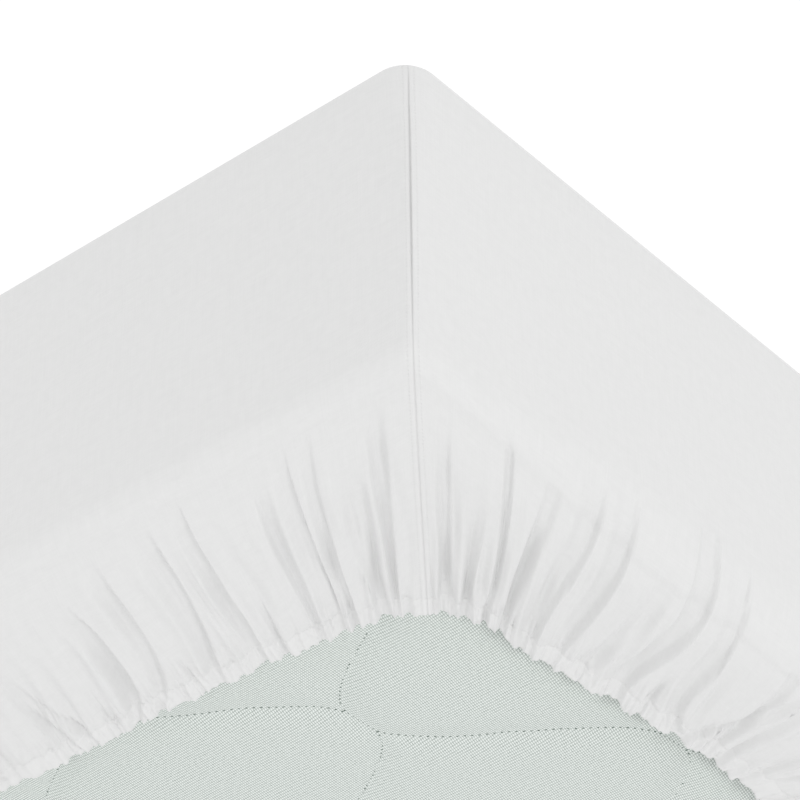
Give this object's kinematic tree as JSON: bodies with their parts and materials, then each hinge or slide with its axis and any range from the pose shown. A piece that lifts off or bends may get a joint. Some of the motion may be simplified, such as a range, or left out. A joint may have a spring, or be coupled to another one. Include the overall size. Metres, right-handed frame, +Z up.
{
  "type": "fitted sheet on a mattress",
  "caption": "White cotton fitted sheet with an elasticated gathered hem, drawn over a plain mattress that lies on its sleeping face with the gathered side up.",
  "frame": {"origin": "middle of the sleeping face, which lies on the floor", "axes": "+X across the mattress, +Y along it, +Z up, from the sleeping face to the underside where the gathered hem is; the most closely drawn corner is at +X -Y"},
  "size_m": [0.9, 2, 0.2127],
  "materials": {
    "white_cotton": "fine plain-woven cotton, matt, softly creased",
    "pale_ticking": "pale grey-green open plain-woven ticking, quilted with a dotted stitch"
  },
  "bodies": {
    "root": {"fitted_sheet": "white_cotton", "mattress": "pale_ticking"}
  },
  "joints": []
}
